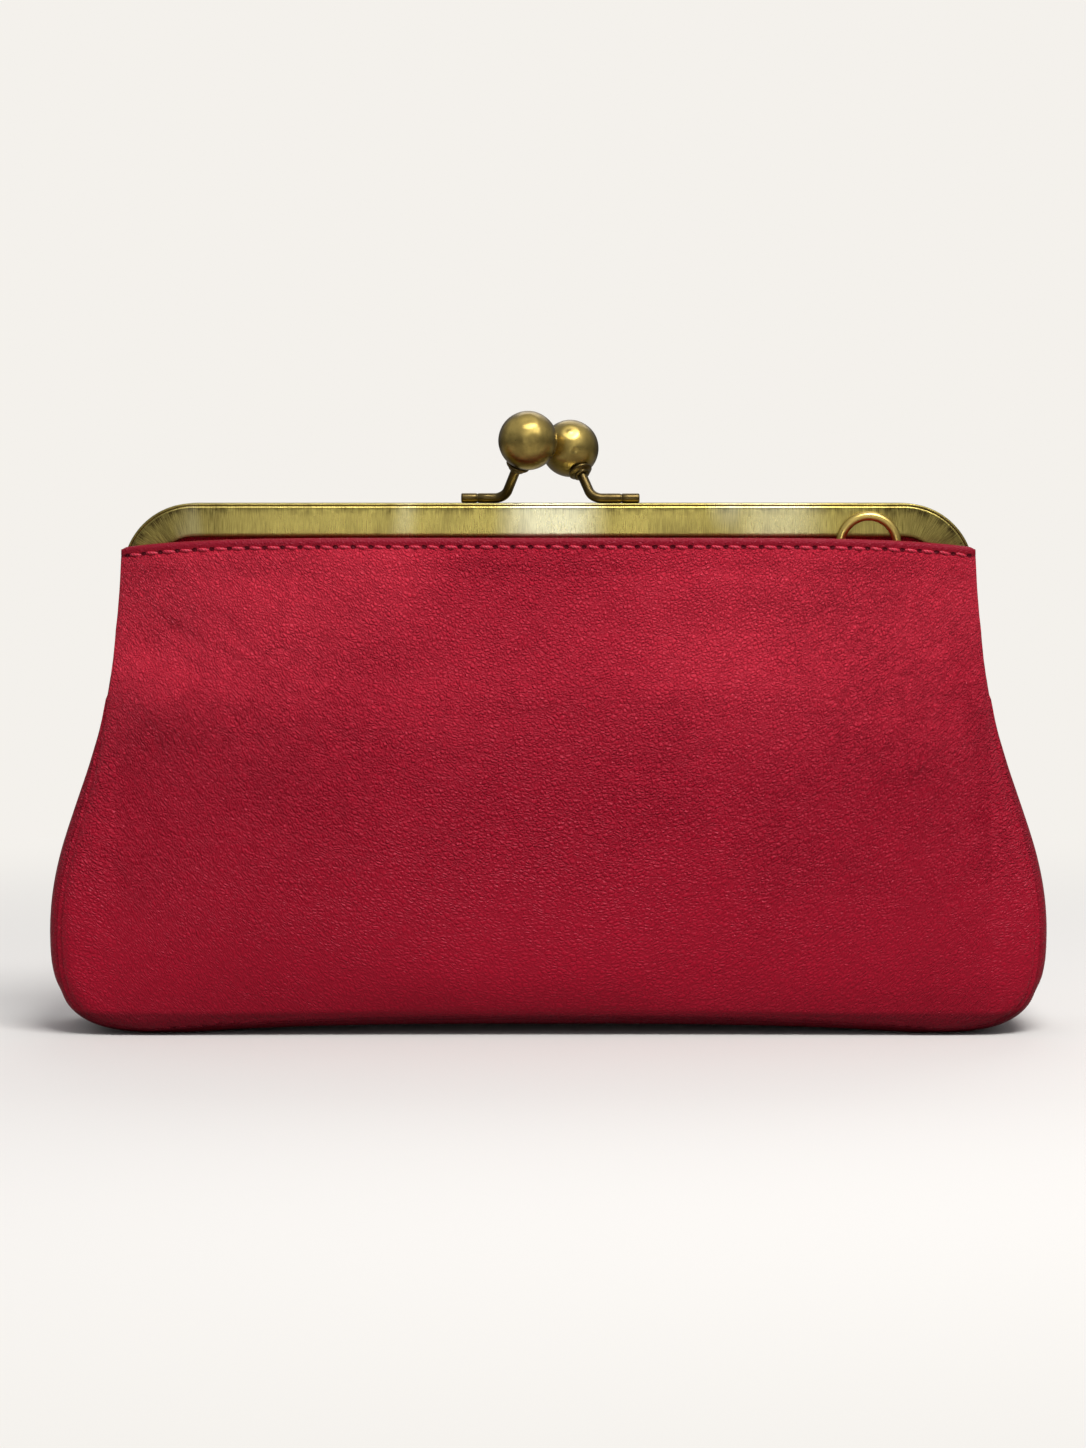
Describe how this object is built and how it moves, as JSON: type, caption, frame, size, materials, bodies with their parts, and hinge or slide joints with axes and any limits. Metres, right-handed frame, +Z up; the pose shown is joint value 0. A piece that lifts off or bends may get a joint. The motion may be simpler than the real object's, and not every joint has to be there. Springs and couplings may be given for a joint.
{
  "type": "kiss lock frame purse",
  "caption": "Clutch purse with a soft leather body, a front slip pocket and a two-part brass kiss lock frame whose halves swing open on side hinges",
  "frame": {"origin": "on the ground under the middle of the closed purse", "axes": "+X to the right as seen from the front, along the frame; -Y out of the front, the side with the pocket and the ring; +Z up"},
  "size_m": [0.2032, 0.037, 0.127],
  "materials": {
    "front_frame": "brushed antique brass",
    "back_frame": "brushed antique brass",
    "hinge_rivet_left": "dark antique brass",
    "hinge_rivet_right": "dark antique brass",
    "front_lock_stem": "dark antique brass",
    "front_lock_collar": "dark antique brass",
    "front_lock_ball": "worn antique brass",
    "back_lock_stem": "dark antique brass",
    "back_lock_collar": "dark antique brass",
    "back_lock_ball": "worn antique brass",
    "front_channel_cord": "twisted paper cord",
    "back_channel_cord": "twisted paper cord",
    "d_ring": "antique brass wire",
    "ring_tab": "red leather",
    "ring_tab_stitches": "red thread",
    "pocket_panel_upper": "fine pebbled red leather",
    "pocket_panel_lower": "fine pebbled red leather",
    "pocket_hem": "turned edge of red leather",
    "pocket_hem_stitches": "red thread",
    "front_panel_upper": "fine pebbled red leather",
    "front_panel_lower": "fine pebbled red leather",
    "back_panel_upper": "fine pebbled red leather",
    "back_panel_lower": "fine pebbled red leather",
    "gusset": "fine pebbled red leather",
    "base_board": "stiffening board",
    "front_lining_upper": "woven lining",
    "front_lining_lower": "woven lining",
    "back_lining_upper": "woven lining",
    "back_lining_lower": "woven lining",
    "gusset_lining": "woven lining"
  },
  "bodies": {
    "body": {"gusset": "gusset", "base_board": "base_board", "pocket_panel_lower": "pocket_panel_lower", "front_panel_lower": "front_panel_lower", "back_panel_lower": "back_panel_lower", "front_lining_lower": "front_lining_lower", "back_lining_lower": "back_lining_lower", "gusset_lining": "gusset_lining", "hinge_rivet_left": "hinge_rivet_left", "hinge_rivet_right": "hinge_rivet_right"},
    "front_half": {"front_frame": "front_frame", "front_channel_cord": "front_channel_cord", "front_panel_upper": "front_panel_upper", "front_lining_upper": "front_lining_upper", "pocket_panel_upper": "pocket_panel_upper", "pocket_hem": "pocket_hem", "pocket_hem_stitches": "pocket_hem_stitches", "ring_tab": "ring_tab", "ring_tab_stitches": "ring_tab_stitches", "front_lock_stem": "front_lock_stem", "front_lock_collar": "front_lock_collar", "front_lock_ball": "front_lock_ball"},
    "back_half": {"back_frame": "back_frame", "back_channel_cord": "back_channel_cord", "back_panel_upper": "back_panel_upper", "back_lining_upper": "back_lining_upper", "back_lock_stem": "back_lock_stem", "back_lock_collar": "back_lock_collar", "back_lock_ball": "back_lock_ball"},
    "ring": {"d_ring": "d_ring"}
  },
  "joints": [
    {"name": "front_frame_hinge", "type": "hinge", "parent": "body", "child": "front_half", "pos_m": [0, 0, 0.08], "axis": [1, 0, 0], "range_deg": [0, 35], "deforming": ["front_lock_ball", "back_lock_ball"]},
    {"name": "back_frame_hinge", "type": "hinge", "parent": "body", "child": "back_half", "pos_m": [0, 0, 0.08], "axis": [1, 0, 0], "range_deg": [-35, 0]},
    {"name": "ring_swing", "type": "hinge", "parent": "front_half", "child": "ring", "pos_m": [0.0654, -0.007, 0.0964], "axis": [1, 0, 0], "range_deg": [-4, 10]}
  ],
  "couplings": [
    {"joint": "back_frame_hinge", "follows": "front_frame_hinge", "ratio": -1}
  ]
}
